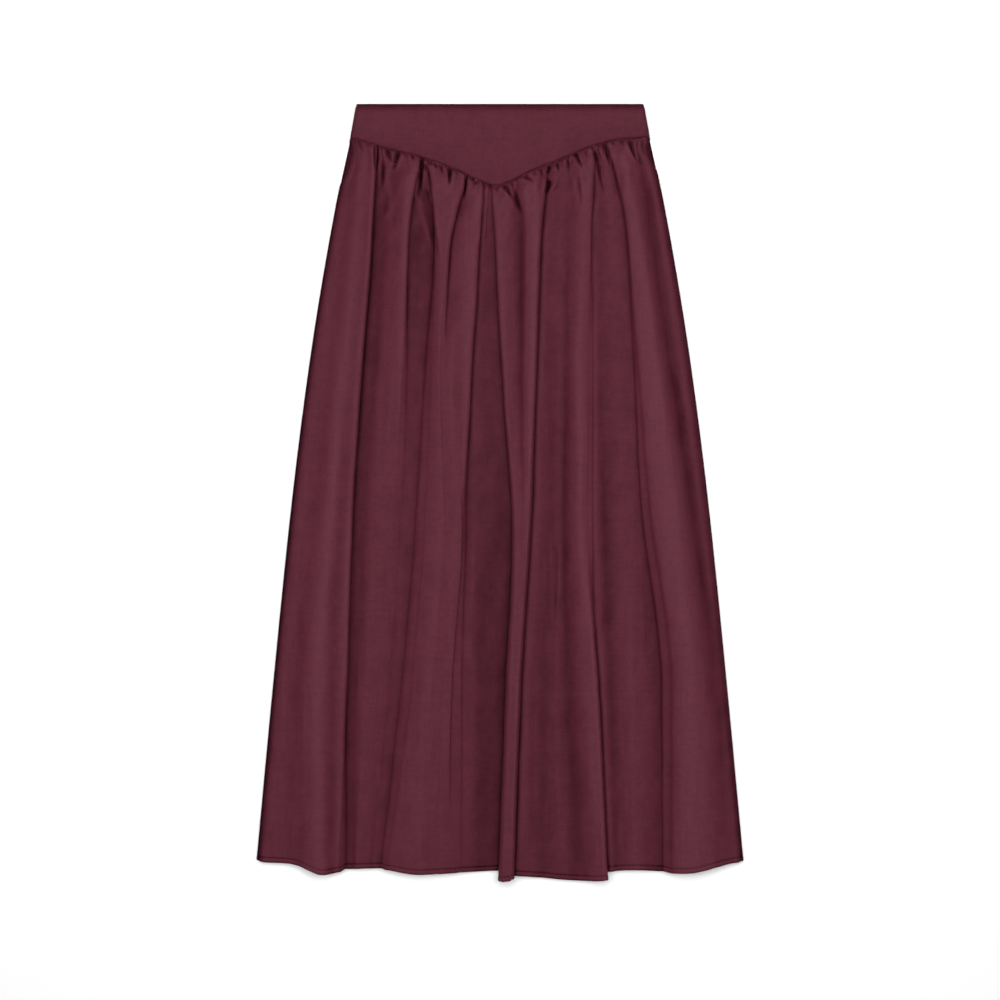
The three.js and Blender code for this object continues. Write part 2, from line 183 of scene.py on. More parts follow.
# the points of one fold at every share of the panel's length
def foldPoints(fold, shares):
    across = smoothAt(stationShares, fold["across"], shares)
    high = smoothAt(stationShares, fold["high"], shares)
    pinched = skirt["pinchedShare"]
    opened = pinched + (1 - pinched) * softStep(0, skirt["pinchLength"], shares)
    shift = -fold["side"] * lapShape["edgeShift"] * softStep(0.02, 0.12, shares)

    def point(offset, height, hem):
        seamY = yOfDrop(seamDropAt(fold["across"][0] + offset) + skirt["seamGap"])
        y = seamY + shares * (yOfDrop(hem) - seamY)
        z = skirt["seamLevel"] + (height - skirt["seamLevel"]) * opened
        return np.stack([across + offset + shift, y, z], axis=1)

    if fold["side"] == 0:
        only = point(np.zeros(len(shares)), high, fold["hem"][0])
        if fold["high"] is rimHigh:
            only[:, 2] = skirt["rimHigh"]
        return [only]
    low = smoothAt(stationShares, fold["low"], shares)
    over = smoothAt(stationShares, fold["over"], shares)
    side = fold["side"]
    topHem, footHem = fold["hem"] if side > 0 else fold["hem"][::-1]
    height = high - low
    foot = np.maximum(fold["footRun"], fold["footRun"] + 1 - over)
    none = np.zeros(len(shares))
    points = [
        point(none - side * lapShape["topRun"], high, topHem),
        point(none, high - lapShape["edgeShare"] * height, topHem),
        point(-side * over, low + lapShape["returnShare"] * height, footHem),
        point(-side * (over - lapShape["turnRun"]), low, footHem),
        point(side * foot, low + fold["footRise"] * softStep(0, 3, over) * height, footHem),
    ]
    return points if side > 0 else points[::-1]


# a centripetal curve through each row's points, with its own number of steps in each span
def splineAcross(points, steps):
    first = 2 * points[:, :1] - points[:, 1:2]
    last = 2 * points[:, -1:] - points[:, -2:-1]
    p = np.concatenate([first, points, last], axis=1)
    reach = np.sqrt(np.maximum(np.linalg.norm(np.diff(p, axis=1), axis=2), 1e-6))[..., None]
    columns = []
    for i, count in enumerate(steps):
        p0, p1, p2, p3 = p[:, i], p[:, i + 1], p[:, i + 2], p[:, i + 3]
        d0, d1, d2 = reach[:, i], reach[:, i + 1], reach[:, i + 2]
        m1 = ((p1 - p0) / d0 - (p2 - p0) / (d0 + d1) + (p2 - p1) / d1) * d1
        m2 = ((p2 - p1) / d1 - (p3 - p1) / (d1 + d2) + (p3 - p2) / d2) * d1
        for k in range(count):
            t = k / count
            a = 2 * t**3 - 3 * t**2 + 1
            b = t**3 - 2 * t**2 + t
            columns.append(a * p1 + b * m1 + (1 - a) * p2 + (t**3 - t**2) * m2)
    columns.append(p[:, -2])
    return np.stack(columns, axis=1)


# columns to each side, full height, weight, most that a crest counts
paintedLightWidths = [(2, 1.5, 0.22, 0.35), (4, 2.8, 0.34, 0.3), (12, 6.0, 0.34, 0.8), (39, 8.0, 0.30, 1.0)]


# how far each point stands over the cloth round it, below nought in a hollow and above it on a crest;
# this is the mask for painted shade in the hollows and painted highlight on the crests
def paintedLightMask(points):
    height = points[..., 2]
    total = np.zeros_like(height)
    for reach, fullHeight, weight, most in paintedLightWidths:
        level = height
        for turn in range(2):
            padded = np.pad(level, ((0, 0), (reach + 1, reach)), mode="edge")
            running = np.cumsum(padded, axis=1)
            level = (running[:, 2 * reach + 1:] - running[:, :-2 * reach - 1]) / (2 * reach + 1)
        total += weight * np.clip((height - level) / fullHeight, -1, most)
    return total


# a closed shell of cloth from the grid of its outer face
def clothShell(name, outer, wall, flat, lowest, outerPaintedLight, innerPaintedLight):
    rows, columns = outer.shape[:2]
    normal = gridNormals(outer)
    inner = outer - normal * wall
    inner[..., 2] = np.maximum(inner[..., 2], lowest)
    top = np.arange(rows * columns).reshape(rows, columns)
    under = top + rows * columns
    a, b, c, d = top[:-1, :-1], top[1:, :-1], top[1:, 1:], top[:-1, 1:]
    faces = [np.stack([a, b, c, d], axis=-1).reshape(-1, 4)]
    shift = rows * columns
    faces.append(np.stack([a, d, c, b], axis=-1).reshape(-1, 4) + shift)
    for upper, lower in (
        (top[0, :], under[0, :]), (top[-1, ::-1], under[-1, ::-1]),
        (top[::-1, 0], under[::-1, 0]), (top[:, -1], under[:, -1]),
    ):
        edge = np.stack([upper[:-1], upper[1:], lower[1:], lower[:-1]], axis=-1)
        faces.append(edge)
    vertices = np.concatenate([outer.reshape(-1, 3), inner.reshape(-1, 3)]) * mm
    faces = np.concatenate(faces)
    mesh = bpy.data.meshes.new(name)
    mesh.from_pydata(vertices.tolist(), [], faces.tolist())
    uvLayer = mesh.uv_layers.new(name="cloth")
    loopVertex = np.empty(len(mesh.loops), dtype=np.int32)
    mesh.loops.foreach_get("vertex_index", loopVertex)
    flatAll = np.concatenate([flat.reshape(-1, 2)] * 2) * mm
    uvLayer.data.foreach_set("uv", flatAll[loopVertex].astype(np.float32).ravel())
    mesh.polygons.foreach_set("use_smooth", np.ones(len(mesh.polygons), dtype=bool))
    # the painted light mask on each vertex: painted shade in the hollows and painted highlight on the
    # crests, for the outer and the inner faces
    mask = mesh.attributes.new("paintedLightMask", "FLOAT", "POINT")
    values = np.concatenate([outerPaintedLight.ravel(), innerPaintedLight.ravel()]).astype(np.float32)
    mask.data.foreach_set("value", values)
    mesh.update()
    piece = bpy.data.objects.new(name, mesh)
    bpy.context.scene.collection.objects.link(piece)
    return piece


# where each point of a grid lies on the flat cut, along and across the cloth
def flatPlaces(points):
    acrossRun = np.linalg.norm(np.diff(points, axis=1), axis=2)
    along = np.concatenate([np.zeros((len(points), 1)), np.cumsum(acrossRun, axis=1)], axis=1)
    along -= along.mean(axis=1, keepdims=True)
    return np.stack([along, points[..., 1]], axis=-1)


def cutArea(points):
    a, b = points[1:, :-1] - points[:-1, :-1], points[:-1, 1:] - points[:-1, :-1]
    return float(np.linalg.norm(np.cross(a, b), axis=2).sum()) * mm * mm


frontPanelLook = {
    "panelLength": 885.0,
    "columns": 2.36,          # width of cloth between two columns at the hem
    "seamRows": [0, 0.7, 1.6, 2.8, 4.4],
    "seamZone": 62,
    "seamStep": 2.3,
    "bodyStep": 12.5,
    "hemRows": [9.5, 7.6, 6.8, stitchHigh, 5.4, 4.6, 2.4, 0.8, 0],
    "wall": 0.5,
    "seamRoll": 1.3,
    "relief": 1.6,            # how much higher the folds stand than the solid's
    "reliefFrom": 4.0,
    "wander": 0.5,
    "wanderWide": 45,
    "wanderLong": 62,
    "uneven": 0.07,
    "puffHigh": 2.6,
    "puffFade": 55,
    "tuckWidth": 1.15,
    "tuckDepth": 1.7,
    "gatherDepth": 2.7,
    "gatherWide": 6.2,
    "gatherFade": 11,
    "gatherFadeUneven": 7,
    "dents": 1.9,
    "dentFade": 48,
    "crumple": 0.8,
    "lowest": 2.5,
    "rimSteps": 7,
    "rimRoll": 8.0,
    "rimFoot": 2.45,
    "hemRaise": 0.35,
    "hemGroove": 0.8,
}

# dark tucks under the seam: across, first drop, last drop, lean to the right, half width, depth
tucks = [
    (-180, 44, 56, 1, 1.6, 1.4), (-173, 46, 60, 1, 1.6, 1.6), (-162, 48, 58, 2, 1.4, 1.2),
    (-154, 52, 82, 0, 2.6, 4.2), (-146, 54, 66, -1, 1.4, 1.4), (-144, 72, 104, -3, 2.6, 2.4),
    (-138, 57, 72, 4, 2.0, 3.0), (-126, 58, 82, -6, 2.3, 4.4), (-118, 60, 68, 1, 1.5, 2.0),
    (-108, 62, 72, 2, 1.6, 2.2), (-97, 66, 118, -5, 2.0, 4.6), (-93, 76, 84, 5, 3.4, 4.2),
    (-92, 108, 128, 6, 3.4, 2.6), (-86, 70, 78, 2, 1.5, 2.0), (-80, 74, 82, 3, 1.5, 2.2),
    (-73, 76, 88, 3, 1.7, 2.4), (-62, 79, 102, -1, 2.2, 4.6), (-54, 83, 92, 2, 1.6, 2.0),
    (-42, 88, 118, -3, 2.0, 3.0), (-35, 90, 98, 5, 2.0, 2.8), (-29, 95, 106, -5, 1.5, 1.4),
    (-20, 98, 112, -1, 1.6, 2.4), (-12, 99, 107, -2, 1.4, 1.4), (-4, 102, 112, 2, 1.4, 1.4),
    (5, 100, 118, 11, 2.2, 4.6), (14, 98, 106, 4, 1.4, 1.6), (18, 108, 136, 8, 2.8, 2.2),
    (30, 89, 98, 11, 2.0, 3.0), (42, 84, 92, 3, 1.4, 1.6), (50, 80, 90, 3, 1.7, 2.2),
    (61, 77, 87, -3, 1.9, 3.2), (60, 95, 111, -4, 2.8, 4.6), (70, 73, 84, 3, 1.6, 2.0),
    (82, 67, 76, 3, 1.4, 1.6), (93, 60, 80, 8, 1.8, 4.2), (96, 90, 126, 4, 1.9, 1.6),
    (105, 58, 66, 2, 1.4, 1.6), (114, 53, 63, 4, 2.0, 3.4), (118, 60, 108, 9, 1.6, 2.0),
    (129, 48, 76, 7, 2.2, 3.8), (139, 46, 54, 2, 1.4, 1.6), (150, 44, 54, 2, 1.4, 1.4),
    (160, 45, 72, 10, 2.4, 4.4), (170, 46, 54, 2, 1.4, 1.4), (178, 44, 62, 5, 2.4, 3.4),
]

# longer soft creases: across, drop, across, drop, half width, depth
creases = [
    (-97, 68, -99, 122, 2.2, 3.4), (-96, 104, -77, 190, 3.2, 3.2), (-138, 112, -151, 146, 4.0, 1.6),
    (-128, 326, -114, 342, 3.5, 0.8), (-118, 552, -102, 560, 3.5, 0.8), (62, 541, 69, 551, 2.2, 1.2),
    (76, 538, 69, 551, 2.2, 1.0), (69, 551, 68, 640, 2.0, 1.3), (170, 60, 178, 76, 3.0, 2.0),
    (186, 100, 190, 160, 3.5, 1.0), (214, 330, 222, 372, 4.0, 0.9), (228, 372, 223, 420, 4.0, 0.9),
    (246, 560, 255, 612, 4.0, 0.8),
]

# where the front edge is pulled in at the sides under the yoke: side, first drop, last drop, width
pulledEdges = [(-1, 46, 104, 5.0), (1, 42, 88, 5.0)]


def frontRows():
    look = frontPanelLook
    panelLength = look["panelLength"]
    zone = np.arange(look["seamRows"][-1] + 2, look["seamZone"], look["seamStep"])
    body = [look["seamZone"]]
    while body[-1] < panelLength - look["hemRows"][0] - look["bodyStep"]:
        growth = softStep(look["seamZone"], 260, body[-1])
        body.append(body[-1] + look["seamStep"] + (look["bodyStep"] - look["seamStep"]) * growth)
    hem = [panelLength - h for h in look["hemRows"]]
    return np.array(look["seamRows"] + zone.tolist() + body[:-1] + hem) / panelLength


# a groove along a line, widest at its start, steep on one side, with soft lips beside it
def groove(x, drop, x1, drop1, x2, drop2, halfWidth, depth, steepSide=0):
    length = np.hypot(x2 - x1, drop2 - drop1)
    ax, ay = (x2 - x1) / length, (drop2 - drop1) / length
    along = ((x - x1) * ax + (drop - drop1) * ay) / length
    beside = (x - x1) * ay - (drop - drop1) * ax
    width = halfWidth * np.clip(1.2 - 0.6 * along, 0.6, 1.2) * np.where(beside * steepSide > 0, 0.55, 1)
    beside = np.abs(beside)
    ends = softStep(-0.12, 0.2, along) * (1 - softStep(0.5, 1.15, along))
    dip = np.exp(-((beside / width) ** 1.6))
    lips = np.exp(-(((beside - 2.4 * width) / width) ** 2))
    return (0.3 * lips - dip) * ends * depth


def frontPanelGrid():
    look = frontPanelLook
    shares = frontRows()
    guides = np.stack([p for fold in folds for p in foldPoints(fold, shares)], axis=1)
    span = np.linalg.norm(np.diff(guides, axis=1), axis=2)
    wide = np.maximum(span[-1], np.maximum(span[len(shares) // 2], 1.3 * span[0]))
    steps = np.clip(np.round(wide / look["columns"]), 2, 16).astype(int)
    steps[0] = steps[-1] = look["rimSteps"]
    grid = splineAcross(guides, steps)
    # the folds wander a little and are not equally high all the way down
    inside = softStep(0, 30, halfWidthAt(shares) - np.abs(grid[..., 0]))
    placeX, placeDrop = grid[..., 0] / look["wanderWide"], dropOf(grid)
    wander = cloudAt(placeX, placeDrop / look["wanderLong"], 14)
    wander += 0.5 * cloudAt(placeX * 1.6, placeDrop / 27, 15)
    grid[..., 0] += look["wander"] * wander * inside * softStep(0.03, 0.12, shares)[:, None]
    grid[0, :, 1] = yOfDrop(seamDropAt(grid[0, :, 0]) + skirt["seamGap"])
    proud = np.maximum(grid[..., 2] - look["reliefFrom"], 0)
    uneven = look["uneven"] * cloudAt(placeX * 1.3 + 7, placeDrop / 85, 16)
    grid[..., 2] += (look["relief"] * (1 + uneven) - 1) * proud
    x, drop = grid[..., 0].copy(), dropOf(grid)
    for side, first, last, width in pulledEdges:
        nearEdge = softStep(40, 0, halfWidthAt(shares) - side * x)
        pull = softStep(first, first + 14, drop) * (1 - softStep(last - 30, last, drop))
        grid[..., 0] -= side * width * nearEdge * pull
    normal = gridNormals(grid)
    below = drop - seamDropAt(x)
    above = (1 - shares[:, None]) * look["panelLength"]
    fromSide = halfWidthAt(shares) - np.abs(x)
    rim = softStep(0, 14, fromSide)
    facing = softStep(0.2, 0.8, normal[..., 2]) * rim

    # small even gathers that die away below the seam
    lean = x + 0.12 * below * cloudAt(x / 30, below / 40, 3)
    lobes = np.abs(cloudAt(lean / look["gatherWide"], below / 90, 5))
    lobes += 0.5 * np.abs(cloudAt(lean / 3.6, below / 40, 8))
    fine = 2.4 * lobes**0.8 - 1.3
    reach = look["gatherFade"] + look["gatherFadeUneven"] * cloudAt(x / 11, 0 * x, 12)
    move = look["gatherDepth"] * fine * np.exp(-below / reach) * softStep(0, 3, below)
    dents = cloudAt(lean / 9 + 4, below / 60, 17)
    dents += 0.7 * cloudAt((lean + 0.5 * below) / 7, below / 22, 18)
    move += look["dents"] * dents * np.exp(-below / look["dentFade"]) * softStep(2, 12, below)
    move += look["puffHigh"] * softStep(0, 7, below) * (1 - softStep(10, look["puffFade"], below))
    for tx, first, last, bend, half, depth in tucks:
        steep = 1 if bend > 0 else -1
        move += groove(x, drop, tx, first, tx + bend, last, half * look["tuckWidth"],
                       depth * look["tuckDepth"], steep)
    for x1, drop1, x2, drop2, half, depth in creases:
        move += groove(x, drop, x1, drop1, x2, drop2, half, depth)

    # thin crumple lines all over, longer down the cloth than across it
    down = cloudAt(x / 13 + 5, drop / 60, 21)
    aslant = cloudAt((x + 0.5 * drop) / 16, (drop - 0.4 * x) / 42, 23)
    move += look["crumple"] * (0.4 - np.abs(down)) + 0.7 * look["crumple"] * (0.4 - np.abs(aslant))
    grid += normal * (move * facing)[..., None]

    # the sides roll down to the back
    rimRound = np.sin(np.pi / 2 * np.clip(fromSide / look["rimRoll"], 0, 1))
    grid[..., 2] = look["rimFoot"] + (grid[..., 2] - look["rimFoot"]) * rimRound

    # no part sinks into the cloth under it
    under = np.maximum(look["lowest"] + 1 - grid[..., 2], 0)
    grid[..., 2] += under * under / (under + 1) * rim

    # the cloth turns down into the seam, and the hem is turned and stitched
    grid[..., 2] -= look["seamRoll"] * np.exp(-((below / 1.8) ** 2)) * rim
    hemBand = 1 - softStep(6.6, 7.8, above)
    pucker = 0.22 * cloudAt(flatPlaces(grid)[..., 0] / 5.5, above / 9, 31) * (1 - softStep(7, 22, above))
    stitchLine = np.exp(-(((above - stitchHigh) / 0.8) ** 2))
    edgeRound = 0.5 * np.exp(-((above / 0.9) ** 2))
    lift = hemBand * look["hemRaise"] + pucker - look["hemGroove"] * stitchLine - edgeRound
    grid += normal * lift[..., None]
    # nothing crosses the seam into the yoke
    seamY = yOfDrop(seamDropAt(grid[..., 0]) + skirt["seamGap"])
    grid[..., 1] = np.minimum(grid[..., 1], seamY)
    return grid, shares


frontGrid, frontShares = frontPanelGrid()


# the two sides turn away from the light: side, shade at the rim, width
rimShades = [(-1, 0.6, 16.0), (1, 0.4, 11.0)]

# line of the hem's stitches and its edge: height over the edge, shade, width
hemShades = [(stitchHigh, 0.75, 1.0), (0.0, 0.7, 1.3)]

# hardly any light gets down into the deep crease beside the left side
sideCrease = {
    "drop": [100, 131, 193, 267, 366, 465, 564, 663, 762, 860],
    "across": [-153, -155.6, -159.3, -165.5, -173, -180, -181.5, -183, -191, -191.5],
    "shade": [0.2, 0.35, 0.5, 0.6, 0.6, 0.4, 0.15, 0.05, 0.2, 0.35],
    "width": 3.6,
}


def frontShade(points, shares):
    shade = np.zeros(points.shape[:2])
    above = (1 - shares[:, None]) * frontPanelLook["panelLength"]
    for place, depth, width in hemShades:
        shade -= depth * np.exp(-(((above - place) / width) ** 2))
    half = halfWidthAt(shares)
    for side, depth, width in rimShades:
        shade -= depth * (1 - softStep(0, width, half - side * points[..., 0]))
    drop = dropOf(points)
    beside = points[..., 0] - smoothAt(sideCrease["drop"], sideCrease["across"], drop)
    deep = smoothAt(sideCrease["drop"], sideCrease["shade"], drop) * softStep(60, 110, drop)
    return shade - deep * np.exp(-((beside / sideCrease["width"]) ** 2))


# the front's painted light mask with the painted shade of its sides, hem and side crease; its underside
# gets the mask turned over
frontPaintedLight = paintedLightMask(frontGrid)
front = clothShell("frontPanel", frontGrid, frontPanelLook["wall"], flatPlaces(frontGrid),
                   skirt["underside"], frontPaintedLight + frontShade(frontGrid, frontShares), -frontPaintedLight)
print("skirt: front panel", frontGrid.shape, "cut area", round(cutArea(frontGrid), 3))


yokeLook = {
    "columns": 150,
    "rowsDown": [0, 0.6, 1.5, 2.8, 4.6, 7, 10],
    "bodyRows": 26,
    "seamRows": [4.2, 2.8, 1.6, 0.7, 0],
    "level": 4.8,
    "crown": 1.4,
    "topHigh": 2.5,
    "topRoll": 10.0,
    "rimRun": 7.0,
    "corner": 3.0,
    "wall": 1.2,
    "seamRoll": 1.1,
    "ripple": 0.26,
    "shadeFrom": 0.9,        # height over the level where the painted shade ends and a slight painted highlight begins
    "shadeRange": 8.0,
    "topShade": 0.3,
    "topShadeRun": 12.0,
}


def yokeGrid():
    look = yokeLook
    side = np.linspace(-1, 1, look["columns"])
    foot = seamDropAt(side * halfWidths[0])
    rows = [np.full(len(side), float(drop)) for drop in look["rowsDown"]]
    start, end = look["rowsDown"][-1], foot - look["seamRows"][0]
    for k in range(1, look["bodyRows"]):
        rows.append(start + (end - start) * k / look["bodyRows"])
    rows += [foot - up for up in look["seamRows"]]
    drop = np.stack(rows)
    half = skirt["waistHalf"] + (halfWidths[0] - skirt["waistHalf"]) * drop / foot
    x = side * half
    # the two top corners are a little round
    corner = look["corner"]
    inFrom = half - np.abs(x)
    cornerDrop = corner - np.sqrt(np.maximum(corner**2 - (corner - np.minimum(inFrom, corner)) ** 2, 0))
    drop = drop + cornerDrop * np.exp(-drop / 5)
    fromRim = np.clip(inFrom / look["rimRun"], 0, 1)
    rimArc = np.sqrt(1 - (1 - fromRim) ** 2)
    topArc = np.sin(np.pi / 2 * np.clip(drop / look["topRoll"], 0, 1))
    pillow = np.sin(np.pi * np.clip(drop / foot, 0, 1) ** 0.6)
    z = skirt["rimHigh"] + (look["level"] + look["crown"] * pillow - skirt["rimHigh"]) * rimArc
    z = look["topHigh"] + (z - look["topHigh"]) * topArc
    ripple = cloudAt(x / 34 + 9, drop / 22, 41) + 0.5 * cloudAt(x / 12, drop / 14, 42)
    z = z + look["ripple"] * ripple * rimArc * topArc
    z = z - look["seamRoll"] * np.exp(-(((foot - drop) / 1.9) ** 2)) * rimArc
    return np.stack([x, yOfDrop(drop), z], axis=-1)


yokePoints = yokeGrid()
yokeDrop = dropOf(yokePoints)
# painted shade where the yoke lies lower than its level and along its rolled top edge, a slight painted
# highlight where it stands higher
yokeRise = yokePoints[..., 2] - yokeLook["level"] - yokeLook["shadeFrom"]
yokePaintedLight = np.clip(yokeRise / yokeLook["shadeRange"], -0.5, 0.1)
yokePaintedLight -= yokeLook["topShade"] * (1 - softStep(1, yokeLook["topShadeRun"], yokeDrop))
yoke = clothShell("frontYoke", yokePoints, yokeLook["wall"], flatPlaces(yokePoints),
                  skirt["underside"], yokePaintedLight, yokePaintedLight)
print("skirt: yoke", yokePoints.shape, "cut area", round(cutArea(yokePoints), 4))


backLook = {
    "panelLength": 890,
    "inset": 0.5,
    "columns": 300,
    "bodyRows": 96,
    "hemRows": [10, 8, 7, stitchHigh, 5.2, 4, 2, 0.8, 0],
    "wall": 0.5,
    "highest": 4.5,         # of a fold under the front's ridges
    "clearance": 0.5,
    "roomCell": 6.0,
    "roomReach": 330.0,
    "crumple": 0.4,
    "gatherDepth": 1.1,
    "hemSide": 930.0,
    "hemMiddle": 941.0,
    "hemRise": 0.45,
    "rimShade": 0.9,
    "hollowShade": 1.6,     # the same folds seen from below
    "seamGap": 0.1,
    "bandColumns": 260,
    "bandRows": 18,
    "bandDepth": 1.0,
}

# folds of the back, pressed by the floor: across at each station from seam to hem, half width, height
backFolds = [
    ((-163, -172, -190, -207, -226, -240), 7, 2.6), ((-131, -141, -158, -172, -190, -204), 10, 1.6),
    ((-104, -118, -139, -160, -176, -184), 6, 1.8), ((-72, -74, -78, -84, -94, -104), 8, 3.0),
    ((-49, -55, -66, -72, -76, -73), 5, 1.4), ((-22, -28, -38, -44, -49, -56), 9, 2.0),
    ((2, 5, 12, 17, 13, 6), 6, 3.2), ((27, 33, 40, 49, 52, 60), 8, 1.4),
    ((58, 61, 66, 72, 84, 92), 6, 2.2), ((88, 97, 101, 104, 116, 127), 9, 2.8),
    ((121, 126, 139, 150, 158, 171), 6, 1.5), ((150, 166, 188, 208, 226, 238), 11, 3.2),
    ((171, 184, 206, 226, 248, 268), 5, 1.4),
]


# the lowest that the front panel and the yoke lie over each place
def roomUnder(x, drop):
    cell, reach = backLook["roomCell"], backLook["roomReach"]
    counts = int(2 * reach / cell) + 2, int(skirt["length"] / cell) + 4
    room = np.full(counts, 99.0)
    for points, wall in ((frontGrid, frontPanelLook["wall"]), (yokePoints, yokeLook["wall"])):
        places = ((points[..., 0] + reach) / cell).astype(int), (dropOf(points) / cell).astype(int) + 1
        np.minimum.at(room, places, points[..., 2] - wall - backLook["clearance"])
    padded = np.pad(room, 1, mode="edge")
    for i in range(3):
        for j in range(3):
            room = np.minimum(room, padded[i:i + counts[0], j:j + counts[1]])
    i, j = ((x + reach) / cell).astype(int), (drop / cell).astype(int) + 1
    return np.minimum(room[i, j], 99)


def backPanelGrid():
    look = backLook
    long = look["panelLength"]
    side = np.linspace(-1, 1, look["columns"])
    body = np.linspace(0, 1, look["bodyRows"]) ** 1.25 * (long - look["hemRows"][0] - 8)
    share = np.concatenate([body, [long - h for h in look["hemRows"]]])[:, None] / long
    half = smoothAt(stationShares, halfWidths, share) - look["inset"]
    hem = look["hemMiddle"] - (look["hemMiddle"] - look["hemSide"]) * side**2
    seam = skirt["bandDepth"] + look["seamGap"]
    x = half * side
    drop = seam + share * (hem - seam)
    crumple = cloudAt(x / 19, drop / 60, 52) + 0.5 * cloudAt((x + 0.4 * drop) / 9, drop / 30, 53)
    rise = 0.35 + look["crumple"] * crumple
    for across, width, high in backFolds:
        wider = width * (1 + 0.25 * cloudAt(drop / 120, 0 * x, width))
        beside = (x - smoothAt(stationShares, across, share)) / wider
        uneven = 0.75 + 0.35 * cloudAt(drop / 150 + high, 0 * x + width, 55)
        rise = rise + high * uneven * (np.exp(-beside**2) - 0.25 * np.exp(-((np.abs(beside) - 2) ** 2)))
    lobes = np.abs(cloudAt(x / 7, share * 9, 54))
    rise = rise + look["gatherDepth"] * (2 * lobes - 0.7) * np.exp(-(drop - seam) / 26)
    rise = np.clip(rise, 0, look["highest"])
    room = np.maximum(roomUnder(x, drop) - look["wall"], 0.9)
    rise = rise * room / np.maximum(rise + room, room + 1e-6) * 1.3
    rise = np.minimum(rise, room) * softStep(0, 6, half - np.abs(x))
    above = (1 - share) * long
    stitchLine = np.exp(-(((above - stitchHigh) / 1.6) ** 2))
    rise = rise + (look["hemRise"] - rise) * np.clip(stitchLine, 0, 1)
    level = np.stack([x, yOfDrop(drop), rise + look["wall"]], axis=-1)
    # painted shade where it lies in under the front at the sides
    nearSide = 1 - softStep(1.5, 14, half - np.abs(x))
    shade = -look["rimShade"] * nearSide * (1 - softStep(110, 150, drop))
    return level, shade, look["bodyRows"] + look["hemRows"].index(stitchHigh)


def backBandGrid():
    look = backLook
    side = np.linspace(-1, 1, look["bandColumns"])
    share = np.linspace(0, 1, look["bandRows"])[:, None]
    drop = share * skirt["bandDepth"]
    half = skirt["waistHalf"] + (halfWidths[0] - skirt["waistHalf"]) * share - look["inset"]
    ruffle = 0.5 + 0.5 * np.sin(side * 150 + 2.6 * cloudAt(side * 17, share * 2, 61))
    deeper = 0.55 + 0.45 * cloudAt(side * 12, share * 1.5, 62)
    edge = softStep(0, 0.12, share) * softStep(0, 0.12, 1 - share)
    fromSide = softStep(0, 0.03, 1 - np.abs(side))
    rise = look["bandDepth"] * ruffle * deeper * (0.35 + 0.65 * edge) * fromSide
    return np.stack([half * side, yOfDrop(drop) + 0 * side, rise + look["wall"]], axis=-1)


backPoints, backShade, backStitchRow = backPanelGrid()
backBandPoints = backBandGrid()
# painted shade in the hollows and painted highlight on the crests of the back and its band, and painted
# shade in the hollows seen from below
backPaintedLight, bandPaintedLight = paintedLightMask(backPoints), paintedLightMask(backBandPoints)
back = clothShell("backPanel", backPoints, backLook["wall"], flatPlaces(backPoints), 0.0,
                  backPaintedLight + backShade, -backLook["hollowShade"] * backPaintedLight)
backBand = clothShell("backBand", backBandPoints, backLook["wall"], flatPlaces(backBandPoints), 0.0,
                      bandPaintedLight, -backLook["hollowShade"] * bandPaintedLight)
print("skirt: back", backPoints.shape, "cut area", round(cutArea(backPoints), 3),
      "band", round(cutArea(backBandPoints), 4))


stitchLook = {"pitch": 3.1, "length": 2.3, "radius": 0.2, "sides": 6, "lift": 0.12}


# one row of thread stitches along a path, as one mesh
def stitchRow(name, path, normals):
    look = stitchLook
    run = np.concatenate([[0], np.cumsum(np.linalg.norm(np.diff(path, axis=0), axis=1))])
    starts = np.arange(2, run[-1] - look["length"] - 2, look["pitch"])
    angles = np.linspace(0, 2 * np.pi, look["sides"], endpoint=False)
    rings = [(0, 0.35), (0.25, 1), (0.75, 1), (1, 0.35)]
    vertices, faces = [], []

    def at(place, values):
        return np.array([np.interp(place, run, values[:, i]) for i in range(3)])

    for start in starts:
        a, b = at(start, path), at(start + look["length"], path)
        up = at(start + look["length"] / 2, normals)
        along = (b - a) / np.linalg.norm(b - a)
        aside = np.cross(up, along)
        aside /= np.linalg.norm(aside)
        up = np.cross(along, aside)
        base = len(vertices)
        for share, size in rings:
            middle = a + (b - a) * share + up * look["lift"] * np.sin(np.pi * share)
            for angle in angles:
                out = np.cos(angle) * aside + np.sin(angle) * up
                vertices.append(middle + look["radius"] * size * out)
        count = look["sides"]
        for r in range(len(rings) - 1):
            for k in range(count):
                p, q = base + r * count + k, base + r * count + (k + 1) % count
                faces.append((p, q, q + count, p + count))
        faces.append(tuple(base + k for k in reversed(range(count))))
        faces.append(tuple(base + (len(rings) - 1) * count + k for k in range(count)))
    mesh = bpy.data.meshes.new(name)
    mesh.from_pydata((np.array(vertices) * mm).tolist(), [], faces)
    mesh.polygons.foreach_set("use_smooth", np.ones(len(mesh.polygons), dtype=bool))
    piece = bpy.data.objects.new(name, mesh)
    bpy.context.scene.collection.objects.link(piece)
    return piece


hemNormals = gridNormals(frontGrid)
frontHemRows = frontPanelLook["hemRows"]
stitchIndex = len(frontShares) - len(frontHemRows) + frontHemRows.index(stitchHigh)
frontStitches = stitchRow("frontHemStitches", frontGrid[stitchIndex], hemNormals[stitchIndex])
backNormals = gridNormals(backPoints)[backStitchRow]
backUnderside = backPoints[backStitchRow] - backNormals * backLook["wall"]
backStitches = stitchRow("backHemStitches", backUnderside, -backNormals)
print("skirt: stitches")


# Materials
def newGroup(name, inputs, outputs):
    group = bpy.data.node_groups.new(name, "ShaderNodeTree")
    for label, kind, value in inputs:
        socket = group.interface.new_socket(label, in_out="INPUT", socket_type=kind)
        if value is not None:
            socket.default_value = value
    for label, kind in outputs:
        group.interface.new_socket(label, in_out="OUTPUT", socket_type=kind)
    return group, group.nodes.new("NodeGroupInput"), group.nodes.new("NodeGroupOutput")


